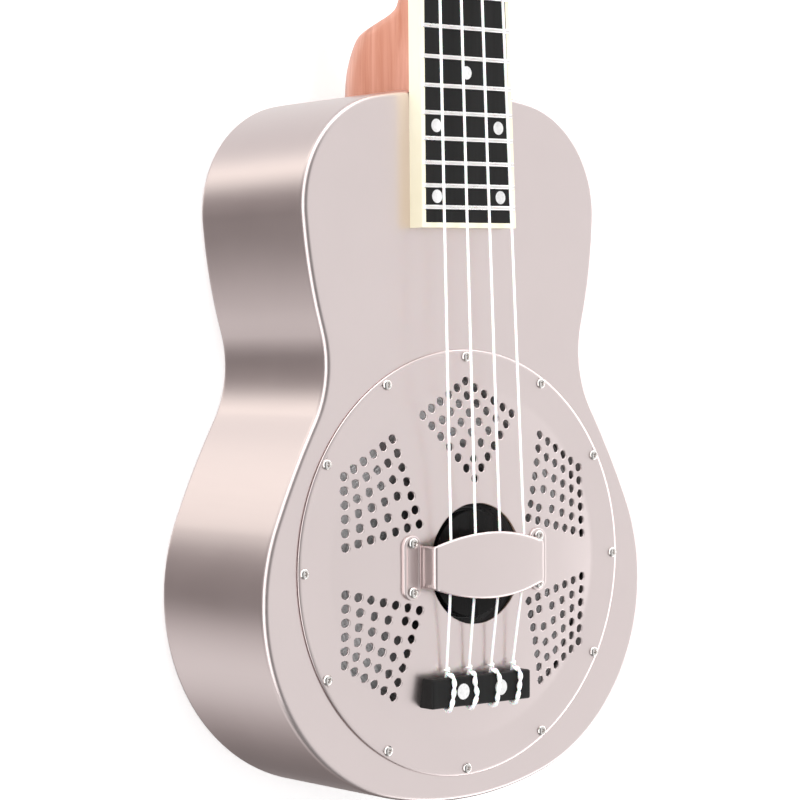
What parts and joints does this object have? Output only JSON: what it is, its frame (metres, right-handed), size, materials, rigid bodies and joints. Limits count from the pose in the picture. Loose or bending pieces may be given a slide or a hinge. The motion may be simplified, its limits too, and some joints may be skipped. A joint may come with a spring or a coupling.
{
  "type": "resonator ukulele",
  "caption": "Resonator ukulele with a metal body, spun cone, perforated coverplate, hand rest, bound black fingerboard and geared tuners.",
  "frame": {"origin": "on the flat back, under the axis of the resonator cone", "axes": "+Y along the neck towards the headstock, +Z out of the face, +X to the right seen from the face with the neck up"},
  "size_m": [0.2056, 0.5586, 0.087],
  "materials": {
    "satin_nickel": "satin brushed nickel plate",
    "inner_sheet": "dull plate",
    "spun_aluminium": "spun, bright",
    "black_gloss_wood": "gloss black lacquer",
    "black_satin_wood": "black, satin",
    "maple": "bare",
    "plated_steel": "nickel plated, polished",
    "fret_wire": "polished nickel silver",
    "pearl": "polished pearl",
    "mahogany": "light satin lacquer",
    "cream_binding": "cream, polished",
    "bone": "polished bone",
    "nylon": "white nylon",
    "brass": "cut brass",
    "cream_button": "pearl cream, polished"
  },
  "bodies": {
    "instrument": {"top_plate": "satin_nickel", "back_plate": "satin_nickel", "left_side": "satin_nickel", "right_side": "satin_nickel", "soundwell": "inner_sheet", "cone": "spun_aluminium", "biscuit": "black_gloss_wood", "biscuit_screw": "plated_steel", "saddle": "maple", "coverplate": "satin_nickel", "coverplate_screws": "plated_steel", "palm_rest": "satin_nickel", "palm_rest_screws": "plated_steel", "palm_rest_nuts": "plated_steel", "tie_block": "black_satin_wood", "tie_block_bolts": "plated_steel", "tie_block_nuts": "plated_steel", "tie_block_dots": "pearl", "neck": "mahogany", "headplate": "black_gloss_wood", "neck_stick": "mahogany", "stick_blocks": "maple", "strap_button": "plated_steel", "fingerboard": "black_satin_wood", "fingerboard_binding": "cream_binding", "frets": "fret_wire", "position_dots": "pearl", "nut": "bone", "string_1": "nylon", "string_2": "nylon", "string_3": "nylon", "string_4": "nylon", "tuner_bushings": "plated_steel", "tuner_screws": "plated_steel", "tuner_plate_1": "plated_steel", "tuner_plate_2": "plated_steel", "tuner_plate_3": "plated_steel", "tuner_plate_4": "plated_steel"},
    "post_1": {"string_post_1": "plated_steel", "tuner_wheel_1": "brass", "string_winding_1": "nylon"},
    "worm_1": {"tuner_worm_1": "plated_steel", "tuner_button_1": "cream_button"},
    "post_2": {"string_post_2": "plated_steel", "tuner_wheel_2": "brass", "string_winding_2": "nylon"},
    "worm_2": {"tuner_worm_2": "plated_steel", "tuner_button_2": "cream_button"},
    "post_3": {"string_post_3": "plated_steel", "tuner_wheel_3": "brass", "string_winding_3": "nylon"},
    "worm_3": {"tuner_worm_3": "plated_steel", "tuner_button_3": "cream_button"},
    "post_4": {"string_post_4": "plated_steel", "tuner_wheel_4": "brass", "string_winding_4": "nylon"},
    "worm_4": {"tuner_worm_4": "plated_steel", "tuner_button_4": "cream_button"}
  },
  "joints": [
    {"name": "post_1_turn", "type": "hinge", "parent": "instrument", "child": "post_1", "pos_m": [-0.019, 0.3805, 0.06235], "axis": [0, 0.2079, 0.9781], "continuous": true},
    {"name": "worm_1_turn", "type": "hinge", "parent": "instrument", "child": "worm_1", "pos_m": [-0.019, 0.36867, 0.04636], "axis": [1, 0, 0], "continuous": true},
    {"name": "post_2_turn", "type": "hinge", "parent": "instrument", "child": "post_2", "pos_m": [-0.019, 0.41376, 0.05528], "axis": [0, 0.2079, 0.9781], "continuous": true},
    {"name": "worm_2_turn", "type": "hinge", "parent": "instrument", "child": "worm_2", "pos_m": [-0.019, 0.40192, 0.03929], "axis": [1, 0, 0], "continuous": true},
    {"name": "post_3_turn", "type": "hinge", "parent": "instrument", "child": "post_3", "pos_m": [0.019, 0.41376, 0.05528], "axis": [0, 0.2079, 0.9781], "continuous": true},
    {"name": "worm_3_turn", "type": "hinge", "parent": "instrument", "child": "worm_3", "pos_m": [0.019, 0.40192, 0.03929], "axis": [1, 0, 0], "continuous": true},
    {"name": "post_4_turn", "type": "hinge", "parent": "instrument", "child": "post_4", "pos_m": [0.019, 0.3805, 0.06235], "axis": [0, 0.2079, 0.9781], "continuous": true},
    {"name": "worm_4_turn", "type": "hinge", "parent": "instrument", "child": "worm_4", "pos_m": [0.019, 0.36867, 0.04636], "axis": [1, 0, 0], "continuous": true}
  ],
  "couplings": [
    {"joint": "worm_1_turn", "follows": "post_1_turn", "ratio": 14},
    {"joint": "worm_2_turn", "follows": "post_2_turn", "ratio": 14},
    {"joint": "worm_3_turn", "follows": "post_3_turn", "ratio": -14},
    {"joint": "worm_4_turn", "follows": "post_4_turn", "ratio": -14}
  ]
}
